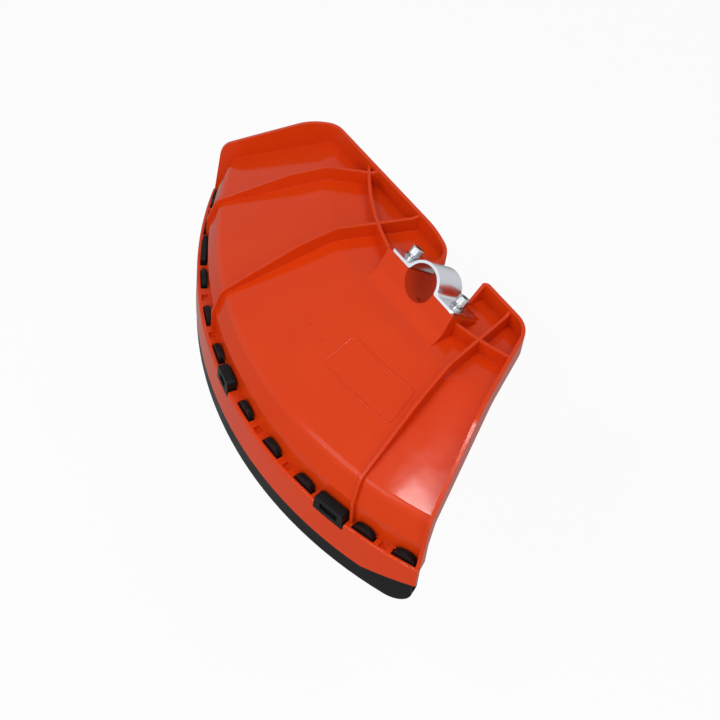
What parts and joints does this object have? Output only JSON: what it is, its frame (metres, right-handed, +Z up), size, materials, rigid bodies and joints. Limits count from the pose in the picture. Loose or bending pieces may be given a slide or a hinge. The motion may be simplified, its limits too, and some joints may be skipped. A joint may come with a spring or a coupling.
{
  "type": "trimmer blade guard",
  "caption": "Curved moulded guard for a grass trimmer's cutter, with a slotted ledge that carries a clip-on skirt and a saddle clamp that holds it on the drive tube.",
  "frame": {"origin": "on the tube's axis, in the middle of the clamp strap's width", "axes": "+Z up, square to the level inner panel; +Y forward, towards the cutter; +X right, seen from behind the machine; the tube slopes down towards +Y"},
  "size_m": [0.3546, 0.1599, 0.1509],
  "materials": {
    "shell_plastic": "moulded, semi-gloss orange-red",
    "skirt_plastic": "moulded, satin black",
    "plated_steel": "bright zinc plate"
  },
  "bodies": {
    "root": {"guard_shell": "shell_plastic", "skirt": "skirt_plastic", "tube_clamp": "plated_steel", "clamp_screw_left": "plated_steel", "spring_washer_left": "plated_steel", "flat_washer_left": "plated_steel", "hex_nut_left": "plated_steel", "clamp_screw_right": "plated_steel", "spring_washer_right": "plated_steel", "flat_washer_right": "plated_steel", "hex_nut_right": "plated_steel"}
  },
  "joints": []
}
